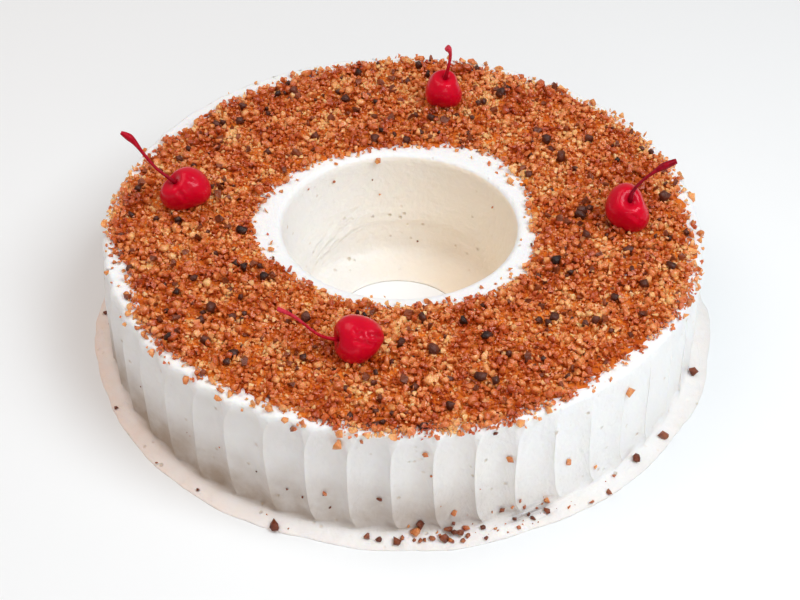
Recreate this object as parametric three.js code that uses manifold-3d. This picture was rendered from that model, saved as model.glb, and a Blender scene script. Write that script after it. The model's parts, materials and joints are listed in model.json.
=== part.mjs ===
// A ring cake: a cream-iced ring with fluted sides, a bed of praline crumble and four stemmed cherries.
// Millimetres, +Z up. The origin is on the table, on the axis of the ring.
import * as THREE from "three";
import { mergeVertices } from "three/addons/utils/BufferGeometryUtils.js";
import Module from "manifold-3d";

const wasm = await Module();
wasm.setup();

// Driving dimensions of the iced ring
const CAKE_HEIGHT = 56;
const WALL_RADIUS = 130;
const WALL_BASE_RADIUS = 131.5; // the wall spreads a little towards the table
const SHOULDER = 4; // rounding where the wall turns into the top
const HOLE_RADIUS = 49.8;
const HOLE_BASE_RADIUS = 46;
const HOLE_SHOULDER = 4;
const HOLE_WAVES = [
  { order: 1, depth: 1.6, phase: 3.32 }, // the hole is cut a little to the left, and not quite round
  { order: 2, depth: 1.2, phase: -0.17 },
];
const FOOT_RADIUS = 139.5; // cream dragged out over the table, outside and in the hole
const FOOT_INNER_RADIUS = 27;
const FOOT_EDGE = 1;
const FOOT_RISE = 9;
const FOOT_WAVES = [
  { order: 4, depth: 0.5, phase: 0.7 },
  { order: 10, depth: 0.4, phase: 1.9 },
  { order: 14, depth: 0.3, phase: 0 },
];

// The spatula strokes that flute the wall
const STROKE_COUNT = 48;
const STROKE_PITCH = (2 * Math.PI) / STROKE_COUNT;
const STROKE_START = THREE.MathUtils.degToRad(5.2);
const STROKE_DEPTH = 1.7;
const STROKE_CREST = 0.7;
const STROKE_BOW = 3; // a stroke's edge bows sideways by this much at top and foot
const STROKE_NOTCH = 4.5; // strokes narrow by this much under the shoulder and leave a V of smooth cream
const STROKE_JITTER = 0.16; // share of a stroke's width
const STROKE_NARROWS = 0.68; // shares of the height where strokes start to narrow and to fade
const STROKE_FADES = 0.88;
const STROKE_SPREAD = [0.6, 1.25]; // how much bows and notches differ from stroke to stroke
const CREST_GAP = 0.06;
const FLUTE_SHARES = [0, 0.32, 0.7, 1 - CREST_GAP]; // columns across one stroke, from its left crest
const FLUTE_OFFSETS = [STROKE_CREST, -0.6 * STROKE_DEPTH, -STROKE_DEPTH, 0.5 * STROKE_CREST];
const WALL_ROWS = 4;

// The crumble bed
const CONTACT_GAP = 0.3; // clearance kept between neighbouring pieces
const BED_INNER_RADIUS = 58.5;
const BED_INNER_WAVES = [
  { order: 2, depth: 3.6, phase: 0 },
  { order: 3, depth: 2.9, phase: Math.PI },
  { order: 4, depth: 1.3, phase: -2.8 },
];
const BED_OUTER_RADIUS = 124.8;
const BED_OUTER_WAVES = [
  { order: 1, depth: 1.8, phase: -1.36 },
  { order: 3, depth: 0.6, phase: 2.96 },
  { order: 4, depth: 0.8, phase: -0.28 },
];
const BED_DEPTH = 2.6;
const BED_EDGE_DEPTH = 0.9;
const BED_BUMP = 1.3;
const BED_RAGGED = 1.2; // how far the bed's edges stray from their smooth outlines
const BED_SHIFT = 1.2; // how far a bump strays from its row, and from its column as a share of the spacing
const BED_TURN = 0.3;
const BED_COLUMNS = 108;
const BED_ROWS = 14;
const LUMP_COUNT = 22;
const LUMP_SIZES = [3.6, 6.2]; // smallest and largest lump across
const LUMP_STRETCH = [0.75, 1.15];
const RIM_CRUMBS = 18;
const WALL_CRUMBS = 8;
const FOOT_CRUMBS = 16;
const CRUMB_SIZES = [1.8, 3.4];
const LUMP_REACH = 0.6; // no lump reaches further from its centre than this share of its size
const FRONT = -Math.PI / 2;
const FOOT_CRUMB_TURN = 0.25; // most of the fallen crumbs lie a little to the right of the front

// The cherries: where each stands, its diameter, the way its stem end faces,
// where the stem's tip is from that end, and the radius of the stem's knob
const CHERRY_SINK = 1.6; // pressed this far into the crumble
const STEM_RADIUS = 0.75;
const FRUIT_FLATTEN = 0.94; // height over width
const DIMPLE_DEPTH = 0.3; // in fruit radii, and its width in radians from the stem end
const DIMPLE_WIDTH = 0.42;
const STEM_ROOT = 0.25; // in fruit diameters: where the stem starts inside, and where it leaves the dimple
const STEM_MOUTH = 0.47;
const STEM_ARCH = 0.1; // rise of the stem's middle, in stem lengths
const KNOB_SHARES = [0.75, 0.97]; // the stretch of stem over which the knob swells
const FRUIT_SIDES = 14;
const FRUIT_STEPS = 9;
const STEM_SIDES = 6;
const STEM_STEPS = 9;
const CHERRIES = [
  {
    name: "cherry_left",
    at: [-95, 11],
    diameter: 20.6,
    faces: [-0.67, -0.19, 0.71],
    tip: [-20, 10, 19],
    knob: 1.7,
  },
  {
    name: "cherry_back",
    at: [19.5, 87],
    diameter: 18.2,
    faces: [0.05, -0.1, 1],
    tip: [1, 2, 14.8],
    knob: 1.5,
  },
  {
    name: "cherry_right",
    at: [97, -2],
    diameter: 19.8,
    faces: [-0.05, -0.55, 0.83],
    tip: [21.9, 11.2, 14],
    knob: 1.8,
  },
  {
    name: "cherry_front",
    at: [-18, -86],
    diameter: 19.6,
    faces: [-0.98, -0.15, 0.14],
    tip: [-22, 8, 9],
    knob: 1.1,
  },
];

// Repeatable random numbers from 0 to 1
function seeded(seed) {
  let state = seed;
  return () => {
    state = (state + 0x6d2b79f5) | 0;
    let t = Math.imul(state ^ (state >>> 15), 1 | state);
    t = (t + Math.imul(t ^ (t >>> 7), 61 | t)) ^ t;
    return ((t ^ (t >>> 14)) >>> 0) / 4294967296;
  };
}

const { lerp, smoothstep } = THREE.MathUtils;

function geometryOf(positions, indices) {
  const geometry = new THREE.BufferGeometry();
  geometry.setAttribute("position", new THREE.Float32BufferAttribute(positions, 3));
  geometry.setIndex(indices);
  return geometry;
}

// A closed ring of columns, each a closed loop of rows
function ringSurface(columns, rows, pointAt) {
  const positions = [];
  const indices = [];
  for (let column = 0; column < columns; column++) {
    const next = (column + 1) % columns;
    for (let row = 0; row < rows; row++) {
      const after = (row + 1) % rows;
      positions.push(...pointAt(column, row));
      const [a, b] = [column * rows + row, next * rows + row];
      const [c, d] = [next * rows + after, column * rows + after];
      indices.push(a, b, c, a, c, d);
    }
  }
  return geometryOf(positions, indices);
}

// Joins and cuts work on closed meshes that share their vertices
function solidOf(geometry) {
  const bare = geometry.clone();
  bare.deleteAttribute("normal");
  bare.deleteAttribute("uv");
  const merged = mergeVertices(bare, 1e-4);
  return new wasm.Manifold(
    new wasm.Mesh({
      numProp: 3,
      vertProperties: new Float32Array(merged.attributes.position.array),
      triVerts: new Uint32Array(merged.index.array),
    }),
  );
}

function geometryFrom(solid) {
  const mesh = solid.getMesh();
  return geometryOf(Array.from(mesh.vertProperties), Array.from(mesh.triVerts));
}

function polar(radius, angle, height) {
  return [radius * Math.cos(angle), radius * Math.sin(angle), height];
}

function sumOfWaves(waves, angle) {
  return waves.reduce((sum, { order, depth, phase }) => sum + depth * Math.cos(order * angle - phase), 0);
}

// One lump: a rough twenty-sided crumb, turned and squashed at random
function crumbAt(point, size, random) {
  const crumb = new THREE.IcosahedronGeometry(size / 2, 0);
  const stretch = () => lerp(...LUMP_STRETCH, random());
  crumb.scale(stretch(), stretch(), stretch());
  crumb.rotateX(random() * Math.PI);
  crumb.rotateZ(random() * Math.PI);
  crumb.translate(...point);
  return solidOf(crumb);
}

// The ring's section: along the foot, up the wall, over the top and down the hole
function ringSection() {
  const point = (radius, height) => new THREE.Vector2(radius, height);
  const shoulderHeight = CAKE_HEIGHT - SHOULDER;
  const footFillet = new THREE.QuadraticBezierCurve(
    point(FOOT_RADIUS, FOOT_EDGE),
    point(WALL_BASE_RADIUS + 1, FOOT_EDGE),
    point(WALL_BASE_RADIUS, FOOT_RISE),
  );
  const wall = new THREE.LineCurve(point(WALL_BASE_RADIUS, FOOT_RISE), point(WALL_RADIUS, shoulderHeight));
  const shoulder = new THREE.EllipseCurve(
    WALL_RADIUS - SHOULDER,
    shoulderHeight,
    SHOULDER,
    SHOULDER,
    0,
    Math.PI / 2,
  );
  const rim = new THREE.EllipseCurve(
    HOLE_RADIUS + HOLE_SHOULDER,
    CAKE_HEIGHT - HOLE_SHOULDER,
    HOLE_SHOULDER,
    HOLE_SHOULDER,
    Math.PI / 2,
    Math.PI,
  );
  return [
    point(FOOT_INNER_RADIUS, 0),
    point(FOOT_RADIUS, 0),
    ...footFillet.getPoints(2),
    ...wall.getPoints(WALL_ROWS).slice(1),
    ...shoulder.getPoints(2).slice(1),
    ...rim.getPoints(3),
    point(HOLE_BASE_RADIUS, FOOT_RISE),
    point(HOLE_BASE_RADIUS - FOOT_RISE, FOOT_EDGE),
    point(FOOT_INNER_RADIUS, FOOT_EDGE),
  ];
}

function makeStrokes() {
  const random = seeded(11);
  return Array.from({ length: STROKE_COUNT }, (_, index) => ({
    start: STROKE_START + (index + (random() - 0.5) * STROKE_JITTER) * STROKE_PITCH,
    bow: (STROKE_BOW * lerp(...STROKE_SPREAD, random())) / WALL_RADIUS,
    notch: (STROKE_NOTCH * lerp(...STROKE_SPREAD, random())) / WALL_RADIUS,
  }));
}

// The iced ring without its stray crumbs
function bareRing() {
  const section = ringSection();
  const strokes = makeStrokes();
  const flutes = FLUTE_SHARES.length;
  const edgeAngle = (index, share) => {
    const turns = Math.floor(index / STROKE_COUNT);
    const stroke = strokes[index % STROKE_COUNT];
    return stroke.start + 2 * Math.PI * turns + stroke.bow * (2 * share - 1) ** 2;
  };
  return ringSurface(STROKE_COUNT * flutes, section.length, (column, row) => {
    const { x: radius, y: height } = section[row];
    const index = Math.floor(column / flutes);
    const part = column % flutes;
    const share = height / CAKE_HEIGHT;
    const notch = strokes[index].notch * smoothstep(share, STROKE_NARROWS, 1) ** 2;
    const left = edgeAngle(index, share) + notch;
    const right = edgeAngle(index + 1, share) - notch;
    const angle = lerp(left, right, FLUTE_SHARES[part]);
    const onWall = radius > WALL_RADIUS - SHOULDER / 2 ? 1 : 0;
    const fade = smoothstep(height, FOOT_EDGE, 2 * FOOT_RISE) * (1 - smoothstep(share, STROKE_FADES, 1));
    const flute = onWall * fade * FLUTE_OFFSETS[part];
    const inHole = radius < BED_INNER_RADIUS ? 1 : 0;
    const holeWave = inHole * sumOfWaves(HOLE_WAVES, angle);
    const footWave = radius < FOOT_RADIUS ? 0 : sumOfWaves(FOOT_WAVES, angle);
    return polar(radius + flute + holeWave + footWave, angle, height);
  });
}

// The height of the flat top, or of the shoulder past it
function topHeight(radius) {
  const past = Math.max(0, radius - (WALL_RADIUS - SHOULDER));
  return CAKE_HEIGHT - SHOULDER + Math.sqrt(SHOULDER ** 2 - past ** 2);
}

// Crumbs that fell past the bed, on the rim, the wall and the foot, fused to the cream
function addStrayCrumbs(ring) {
  const random = seeded(23);
  const draw = (low, high) => lerp(low, high, random());
  const crumbs = [];
  for (let index = 0; index < RIM_CRUMBS; index++) {
    const size = draw(...CRUMB_SIZES);
    const angle = ((index + random()) / RIM_CRUMBS) * 2 * Math.PI;
    const radius = bedOuter(angle) + BED_RAGGED + LUMP_REACH * size + draw(CONTACT_GAP, 1);
    if (radius > WALL_RADIUS - 1) continue; // no rim is left where the bed reaches the edge
    crumbs.push(crumbAt(polar(radius, angle, topHeight(radius)), size, random));
  }
  const strokes = makeStrokes();
  for (let index = 0; index < WALL_CRUMBS; index++) {
    const stroke = strokes[Math.floor((index / WALL_CRUMBS) * STROKE_COUNT)];
    const angle = stroke.start + FLUTE_SHARES[2] * STROKE_PITCH;
    const place = polar(WALL_RADIUS - STROKE_DEPTH + 0.6, angle, draw(0.25, 0.7) * CAKE_HEIGHT);
    crumbs.push(crumbAt(place, CRUMB_SIZES[1], random));
  }
  for (let index = 0; index < FOOT_CRUMBS; index++) {
    const spread = 2 * ((index + random()) / FOOT_CRUMBS) - 1; // closest together at the front
    const angle = FRONT + FOOT_CRUMB_TURN + Math.PI * Math.sign(spread) * spread ** 2;
    const place = polar(draw(WALL_BASE_RADIUS + 4, FOOT_RADIUS - 2), angle, FOOT_EDGE + 0.3);
    crumbs.push(crumbAt(place, draw(...CRUMB_SIZES), random));
  }
  return crumbs.reduce((joined, crumb) => joined.add(crumb), ring);
}

// The bed's uneven inner and outer outlines
function bedInner(angle) {
  return BED_INNER_RADIUS + sumOfWaves(BED_INNER_WAVES, angle);
}

function bedOuter(angle) {
  return BED_OUTER_RADIUS + sumOfWaves(BED_OUTER_WAVES, angle);
}

// The bed: crumb-sized bumps over a flat underside, with lumps fused on and a seat cut for each cherry
function crumbleBed(cherries) {
  const random = seeded(37);
  const floor = CAKE_HEIGHT + CONTACT_GAP;
  const jitter = (amount) => (random() - 0.5) * 2 * amount;
  const ragged = Array.from({ length: BED_COLUMNS }, () => [jitter(BED_RAGGED), jitter(BED_RAGGED)]);
  const rows = BED_ROWS + 2; // two more rows close the underside
  const bed = ringSurface(BED_COLUMNS, rows, (column, row) => {
    const angle = (column / BED_COLUMNS) * 2 * Math.PI;
    const inner = bedInner(angle) + ragged[column][0];
    const outer = bedOuter(angle) + ragged[column][1];
    if (row === 0) return polar(inner, angle, floor);
    if (row === 1) return polar(outer, angle, floor);
    const share = 1 - (row - 2) / (BED_ROWS - 1);
    const edge = row === 2 || row === rows - 1;
    if (edge) return polar(lerp(inner, outer, share), angle, floor + BED_EDGE_DEPTH);
    const turn = jitter(BED_TURN / BED_COLUMNS) * 2 * Math.PI;
    const radius = lerp(inner, outer, share) + jitter(BED_SHIFT);
    return polar(radius, angle + turn, floor + BED_DEPTH + jitter(BED_BUMP));
  });
  const goldenAngle = Math.PI * (3 - Math.sqrt(5));
  let solid = solidOf(bed);
  for (let index = 0; index < LUMP_COUNT; index++) {
    const angle = index * goldenAngle;
    const size = lerp(LUMP_SIZES[1], LUMP_SIZES[0], index / LUMP_COUNT);
    const margin = LUMP_REACH * size + 1;
    const inner = bedInner(angle) + margin;
    const outer = bedOuter(angle) - margin;
    const radius = Math.sqrt(lerp(inner ** 2, outer ** 2, random()));
    const place = polar(radius, angle, floor + Math.max(BED_DEPTH, LUMP_REACH * size));
    const near = CHERRIES.some(({ at, diameter }) => {
      return Math.hypot(place[0] - at[0], place[1] - at[1]) < (diameter + size) / 2;
    });
    if (!near) solid = solid.add(crumbAt(place, size, random));
  }
  for (const cherry of cherries) {
    const seat = cherry.geometry.clone();
    const grow = 1 + (2 * CONTACT_GAP) / cherry.userData.diameter;
    seat.scale(grow, grow, grow).applyMatrix4(cherry.matrixWorld);
    solid = solid.subtract(solidOf(seat));
  }
  return solid;
}

// A tube along a curve whose radius changes, closed at both ends
function taperedTube(curve, steps, sides, radiusAt) {
  const frames = curve.computeFrenetFrames(steps, false);
  const positions = [...curve.getPointAt(0)];
  const indices = [];
  for (let step = 0; step <= steps; step++) {
    const share = step / steps;
    const centre = curve.getPointAt(share);
    for (let side = 0; side < sides; side++) {
      const turn = (side / sides) * 2 * Math.PI;
      const out = frames.normals[step].clone().multiplyScalar(Math.cos(turn));
      out.addScaledVector(frames.binormals[step], Math.sin(turn));
      positions.push(...centre.clone().addScaledVector(out, radiusAt(share)));
    }
  }
  const last = positions.length / 3;
  positions.push(...curve.getPointAt(1));
  const at = (step, side) => 1 + step * sides + (side % sides);
  for (let side = 0; side < sides; side++) {
    indices.push(0, at(0, side + 1), at(0, side));
    indices.push(last, at(steps, side), at(steps, side + 1));
    for (let step = 0; step < steps; step++) {
      const [a, b] = [at(step, side), at(step, side + 1)];
      const [c, d] = [at(step + 1, side + 1), at(step + 1, side)];
      indices.push(a, b, c, a, c, d);
    }
  }
  return geometryOf(positions, indices);
}

// A cherry about its own centre, its stem end towards +Z, a little flattened and dimpled at the stem
function cherryFruit(diameter) {
  const radius = diameter / 2;
  const profile = [];
  for (let step = 0; step <= FRUIT_STEPS; step++) {
    const polarAngle = (step / FRUIT_STEPS) * Math.PI;
    const dimple = DIMPLE_DEPTH * Math.exp(-(((Math.PI - polarAngle) / DIMPLE_WIDTH) ** 2));
    const across = step === 0 || step === FRUIT_STEPS ? 0 : radius * Math.sin(polarAngle);
    profile.push(new THREE.Vector2(across, radius * (-FRUIT_FLATTEN * Math.cos(polarAngle) - dimple)));
  }
  const fruit = new THREE.LatheGeometry(profile, FRUIT_SIDES);
  return fruit.rotateX(Math.PI / 2);
}

// The stem leaves the dimple along the fruit's axis, bends to its tip and swells into a knob
function cherryStem(diameter, tip, knob) {
  const root = new THREE.Vector3(0, 0, STEM_ROOT * diameter);
  const mouth = new THREE.Vector3(0, 0, STEM_MOUTH * diameter);
  const end = mouth.clone().add(tip);
  const bend = mouth.clone().lerp(end, 0.5).add(new THREE.Vector3(0, 0, STEM_ARCH * tip.length()));
  const curve = new THREE.CatmullRomCurve3([root, mouth, bend, end]);
  const swell = (share) => lerp(STEM_RADIUS, knob, smoothstep(share, ...KNOB_SHARES));
  return taperedTube(curve, STEM_STEPS, STEM_SIDES, swell);
}

function makeCherry({ name, at, diameter, faces, tip, knob }) {
  const upright = new THREE.Vector3(0, 0, 1);
  const turn = new THREE.Quaternion().setFromUnitVectors(upright, new THREE.Vector3(...faces).normalize());
  const localTip = new THREE.Vector3(...tip).applyQuaternion(turn.clone().invert());
  const whole = solidOf(cherryFruit(diameter)).add(solidOf(cherryStem(diameter, localTip, knob)));
  const skin = new THREE.MeshStandardMaterial({ color: 0xc40a26, roughness: 0.2, metalness: 0 });
  const cherry = new THREE.Mesh(geometryFrom(whole), skin);
  const rest = CAKE_HEIGHT + CONTACT_GAP + BED_DEPTH - CHERRY_SINK;
  cherry.name = name;
  cherry.quaternion.copy(turn);
  cherry.position.set(...at, rest + diameter / 2);
  cherry.userData.diameter = diameter;
  cherry.updateMatrixWorld();
  return cherry;
}

const cream = new THREE.MeshStandardMaterial({ color: 0xf3efe9, roughness: 0.6, metalness: 0 });
const praline = new THREE.MeshStandardMaterial({ color: 0xb76036, roughness: 0.45, metalness: 0 });

const cherries = CHERRIES.map(makeCherry);
const ring = new THREE.Mesh(geometryFrom(addStrayCrumbs(solidOf(bareRing()))), cream);
ring.name = "iced_ring";
const crumble = new THREE.Mesh(geometryFrom(crumbleBed(cherries)), praline);
crumble.name = "praline_crumble";

const cake = new THREE.Group();
cake.name = "ring_cake";
cake.add(ring, crumble, ...cherries);
export default cake;
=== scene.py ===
import json
import math
from functools import partialmethod

import bmesh
import bpy
import numpy as np
from mathutils import Matrix, Vector
from mathutils.bvhtree import BVHTree

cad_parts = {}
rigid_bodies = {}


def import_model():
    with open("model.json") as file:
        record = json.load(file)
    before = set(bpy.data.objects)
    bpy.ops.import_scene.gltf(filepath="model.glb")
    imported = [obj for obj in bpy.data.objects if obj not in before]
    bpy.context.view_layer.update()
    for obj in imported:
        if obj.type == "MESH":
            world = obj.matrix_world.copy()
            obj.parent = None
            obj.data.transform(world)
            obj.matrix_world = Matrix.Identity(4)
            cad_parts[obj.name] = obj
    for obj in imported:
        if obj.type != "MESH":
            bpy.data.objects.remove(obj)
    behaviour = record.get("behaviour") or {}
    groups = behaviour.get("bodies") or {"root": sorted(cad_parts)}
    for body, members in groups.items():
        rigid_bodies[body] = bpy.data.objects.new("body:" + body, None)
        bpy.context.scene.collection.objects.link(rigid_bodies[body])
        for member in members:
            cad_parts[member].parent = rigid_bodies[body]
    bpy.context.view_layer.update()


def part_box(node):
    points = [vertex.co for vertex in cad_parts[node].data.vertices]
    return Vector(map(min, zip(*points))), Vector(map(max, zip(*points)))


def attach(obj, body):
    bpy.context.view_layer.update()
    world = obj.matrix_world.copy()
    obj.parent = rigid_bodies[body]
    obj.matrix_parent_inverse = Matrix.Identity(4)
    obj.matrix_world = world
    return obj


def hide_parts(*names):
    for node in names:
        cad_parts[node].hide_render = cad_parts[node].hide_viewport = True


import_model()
mm = 0.001
ringLow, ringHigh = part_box("iced_ring")
bedLow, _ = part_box("praline_crumble")
contactGap = 0.3 * mm  # the solids' clearance under the crumble
cakeTop = bedLow.z - contactGap
footReach = (ringHigh.x - ringLow.x + ringHigh.y - ringLow.y) / 4
print("frame: cake top %.1f mm, foot radius %.1f mm" % (cakeTop / mm, footReach / mm))


# Node helpers: a Field is a socket that can be added, multiplied and so on
def feed(tree, slot, value):
    if isinstance(value, Field):
        value = value.socket
    if isinstance(value, bpy.types.NodeSocket):
        tree.links.new(value, slot)
    else:
        slot.default_value = value


class Field:
    def __init__(self, tree, socket):
        self.tree = tree
        self.socket = socket

    def calc(self, operation, *values):
        return calcNode(self.tree, operation, self, *values)

    def __rsub__(self, other):
        return calcNode(self.tree, "SUBTRACT", other, self)

    __add__ = __radd__ = partialmethod(calc, "ADD")
    __sub__ = partialmethod(calc, "SUBTRACT")
    __mul__ = __rmul__ = partialmethod(calc, "MULTIPLY")
    __truediv__ = partialmethod(calc, "DIVIDE")
    __pow__ = partialmethod(calc, "POWER")


def addNode(tree, kind, inputs=None, **settings):
    node = tree.nodes.new(kind)
    for key, value in settings.items():
        setattr(node, key, value)
    for key, value in (inputs or {}).items():
        slot = node.inputs[key] if isinstance(key, int) else nextSlot(node, key)
        feed(tree, slot, value)
    return node


def nextSlot(node, name):
    return next(slot for slot in node.inputs if slot.name == name and slot.enabled)


def outOf(node, index=0):
    shown = [slot for slot in node.outputs if slot.enabled]
    return Field(node.id_data, shown[index])


def calcNode(tree, operation, *values):
    return outOf(addNode(tree, "ShaderNodeMath", dict(enumerate(values)), operation=operation))


def ease(field, low, high):
    inputs = {"Value": field, "From Min": low, "From Max": high}
    return outOf(addNode(field.tree, "ShaderNodeMapRange", inputs, interpolation_type="SMOOTHSTEP"))


def fade(field, low, high):
    return 1.0 - ease(field, low, high)


def clampTo(field, low=0.0, high=1.0):
    return field.calc("MAXIMUM", low).calc("MINIMUM", high)


def splitVector(vector):
    tree = vector.id_data
    return [Field(tree, slot) for slot in addNode(tree, "ShaderNodeSeparateXYZ", {0: vector}).outputs]


def joinVector(x, y, z=0.0):
    return addNode(x.tree, "ShaderNodeCombineXYZ", {0: x, 1: y, 2: z}).outputs[0]


def scaleVector(vector, length):
    node = addNode(length.tree, "ShaderNodeVectorMath", {0: vector}, operation="SCALE")
    feed(length.tree, node.inputs["Scale"], length)
    return node.outputs[0]


# Noise from 0 to 1, taken at another place for each shift
def noise(vector, scale, detail=2.0, shift=0.0):
    tree = vector.id_data
    moved = addNode(tree, "ShaderNodeVectorMath", {0: vector, 1: (shift, 0.7 * shift, -shift)})
    inputs = {"Vector": moved.outputs[0], "Scale": scale, "Detail": detail}
    return Field(tree, addNode(tree, "ShaderNodeTexNoise", inputs).outputs[0])


def namedField(tree, name):
    return outOf(addNode(tree, "GeometryNodeInputNamedAttribute", {"Name": name}, data_type="FLOAT"))


def storeField(geometry, name, value, domain):
    inputs = {"Geometry": geometry, "Name": name, "Value": value}
    node = addNode(value.tree, "GeometryNodeStoreNamedAttribute", inputs, data_type="FLOAT", domain=domain)
    return node.outputs[0]


def movePoints(geometry, way, vector):
    inputs = {"Geometry": geometry, way: vector}
    return addNode(vector.id_data, "GeometryNodeSetPosition", inputs).outputs[0]


def randomField(low, high, seed, key=None, kind="FLOAT"):
    inputs = {"Min": low, "Max": high, "Seed": seed}
    if key is not None:
        inputs["ID"] = key
    return outOf(addNode(seed.tree, "FunctionNodeRandomValue", inputs, data_type=kind))


socketKinds = {float: "NodeSocketFloat", int: "NodeSocketInt"}


def newTree(name, sizes, things):
    tree = bpy.data.node_groups.new(name, "GeometryNodeTree")
    face = tree.interface
    face.new_socket("Geometry", in_out="INPUT", socket_type="NodeSocketGeometry")
    for label, value in sizes.items():
        socket = face.new_socket(label, in_out="INPUT", socket_type=socketKinds[type(value)])
        socket.default_value = value
    for label, kind in things:
        face.new_socket(label, in_out="INPUT", socket_type=kind)
    face.new_socket("Geometry", in_out="OUTPUT", socket_type="NodeSocketGeometry")
    source = tree.nodes.new("NodeGroupInput")
    inputs = {slot.name: Field(tree, slot) for slot in source.outputs if slot.name}
    return tree, inputs


def endTree(tree, geometry, material):
    realized = addNode(tree, "GeometryNodeRealizeInstances", {"Geometry": geometry}).outputs[0]
    painted = addNode(tree, "GeometryNodeSetMaterial", {"Geometry": realized, "Material": material})
    sink = tree.nodes.new("NodeGroupOutput")
    tree.links.new(painted.outputs[0], sink.inputs[0])
    return tree


# Runs a tree on an object and keeps the result as a plain mesh
def bakeTree(piece, tree, values):
    modifier = piece.modifiers.new(tree.name, "NODES")
    modifier.node_group = tree
    for item in tree.interface.items_tree:
        if item.in_out == "INPUT" and item.name in values:
            modifier[item.identifier] = values[item.name]
    graph = bpy.context.evaluated_depsgraph_get()
    made = bpy.data.meshes.new_from_object(
        piece.evaluated_get(graph), preserve_all_data_layers=True, depsgraph=graph
    )
    piece.modifiers.remove(modifier)
    piece.data = made
    made.name = piece.name


# Mesh helpers
def newPiece(name, mesh):
    piece = bpy.data.objects.new(name, mesh)
    bpy.context.scene.collection.objects.link(piece)
    return piece


def shadeSmooth(mesh):
    mesh.polygons.foreach_set("use_smooth", [True] * len(mesh.polygons))


def meshFrom(name, points, faces):
    mesh = bpy.data.meshes.new(name)
    mesh.from_pydata([tuple(p) for p in points], [], faces)
    shadeSmooth(mesh)
    mesh.update()
    return mesh


def pointAttribute(mesh, name, values):
    layer = mesh.attributes.new(name, "FLOAT", "POINT")
    layer.data.foreach_set("value", np.asarray(values, np.float32).ravel())


# A circle with waves in it: each has an order, a depth and a phase
def outline(base, waves, angle):
    return base + sum(depth * np.cos(order * angle - phase) for order, depth, phase in waves)


# 1 at the centre, falling to nothing over a few widths
def bell(values, width, centre=0.0):
    return np.exp(-(((values - centre) / width) ** 2))


def turnFrom(angle, bearing):
    return np.abs(np.angle(np.exp(1j * (angle - bearing))))


# Local bulges and bays of an outline: each has a bearing, a half width and a depth
def bays(spots, angle):
    return sum(depth * bell(turnFrom(angle, bearing), width) for bearing, width, depth in spots)


def smoothStep(values, low, high):
    share = np.clip((values - low) / (high - low), 0, 1)
    return share * share * (3 - 2 * share)


# The faces between columns round the axis, each a closed loop of rows or an open strip that faces up
def columnFaces(columns, rows, closed):
    column, row = np.meshgrid(np.arange(columns), np.arange(rows if closed else rows - 1), indexing="ij")
    here, beside = column * rows, (column + 1) % columns * rows
    nextRow = (row + 1) % rows
    corners = [here + row, beside + row, beside + nextRow, here + nextRow]
    if not closed:
        corners = [corners[0], *corners[:0:-1]]
    return np.stack(corners, -1).reshape(-1, 4).tolist()


def finishPiece(piece, slot, *nodes):
    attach(piece, "root")
    if nodes:
        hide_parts(*nodes)
    print("  %s: %d triangles" % (piece.name, sum(len(f.vertices) - 2 for f in piece.data.polygons)))


# Materials
def newMaterial(name):
    material = bpy.data.materials.new(name)
    material.use_nodes = True
    tree = material.node_tree
    shader = tree.nodes["Principled BSDF"]
    place = tree.nodes.new("ShaderNodeTexCoord")
    return material, tree, shader, place.outputs["Object"]


def rgba(colour):
    scaled = [c / 255 for c in colour]
    linear = (c / 12.92 if c <= 0.04045 else ((c + 0.055) / 1.055) ** 2.4 for c in scaled)
    return (*linear, 1)


def colourRamp(factor, stops):
    ramp = addNode(factor.tree, "ShaderNodeValToRGB", {"Fac": factor})
    while len(ramp.color_ramp.elements) < len(stops):
        ramp.color_ramp.elements.new(0.5)
    for element, (place, colour) in zip(ramp.color_ramp.elements, stops):
        element.position = place
        element.color = rgba(colour)
    return ramp.outputs["Color"]


def fromTo(low, high):
    return [(0.0, low), (1.0, high)]


# A colour turned towards a tint, as far as the factor says
def tinted(colour, factor, tint):
    inputs = {"Factor": factor, "A": colour, "B": rgba(tint)}
    return outOf(addNode(factor.tree, "ShaderNodeMix", inputs, data_type="RGBA"))


def setShader(shader, values):
    for name, value in values.items():
        feed(shader.id_data, shader.inputs[name], value)


def addBump(shader, height, distance, strength=1.0):
    inputs = {"Height": height, "Distance": distance, "Strength": strength}
    setShader(shader, {"Normal": addNode(height.tree, "ShaderNodeBump", inputs).outputs[0]})


def attributeField(tree, name):
    node = addNode(tree, "ShaderNodeAttribute", attribute_name=name)
    return Field(tree, node.outputs["Fac"])


creamLook = {
    "pale": (247, 246, 245),
    "warm": (250, 234, 212),
    "blush": (250, 228, 216),
    "paintedShadeColour": (176, 157, 140),
    "darkStreak": (112, 92, 86),
    "pitShade": (214, 186, 150),
    "roughness": 0.5,
    "scatter": 0.3,
    "scatterRadius": (1.0, 0.75, 0.5),
    "scatterDepth": 0.5 * mm,
    "bump": 1.0 * mm,
    "stretch": 0.22,  # of smears along their own way
    "levelStretch": (0.12, 0.12, 1.0),  # of the streaks in the hole
    "slants": (0.7, 0.31),  # of the streaks on the wall and the torn flakes
}


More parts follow.
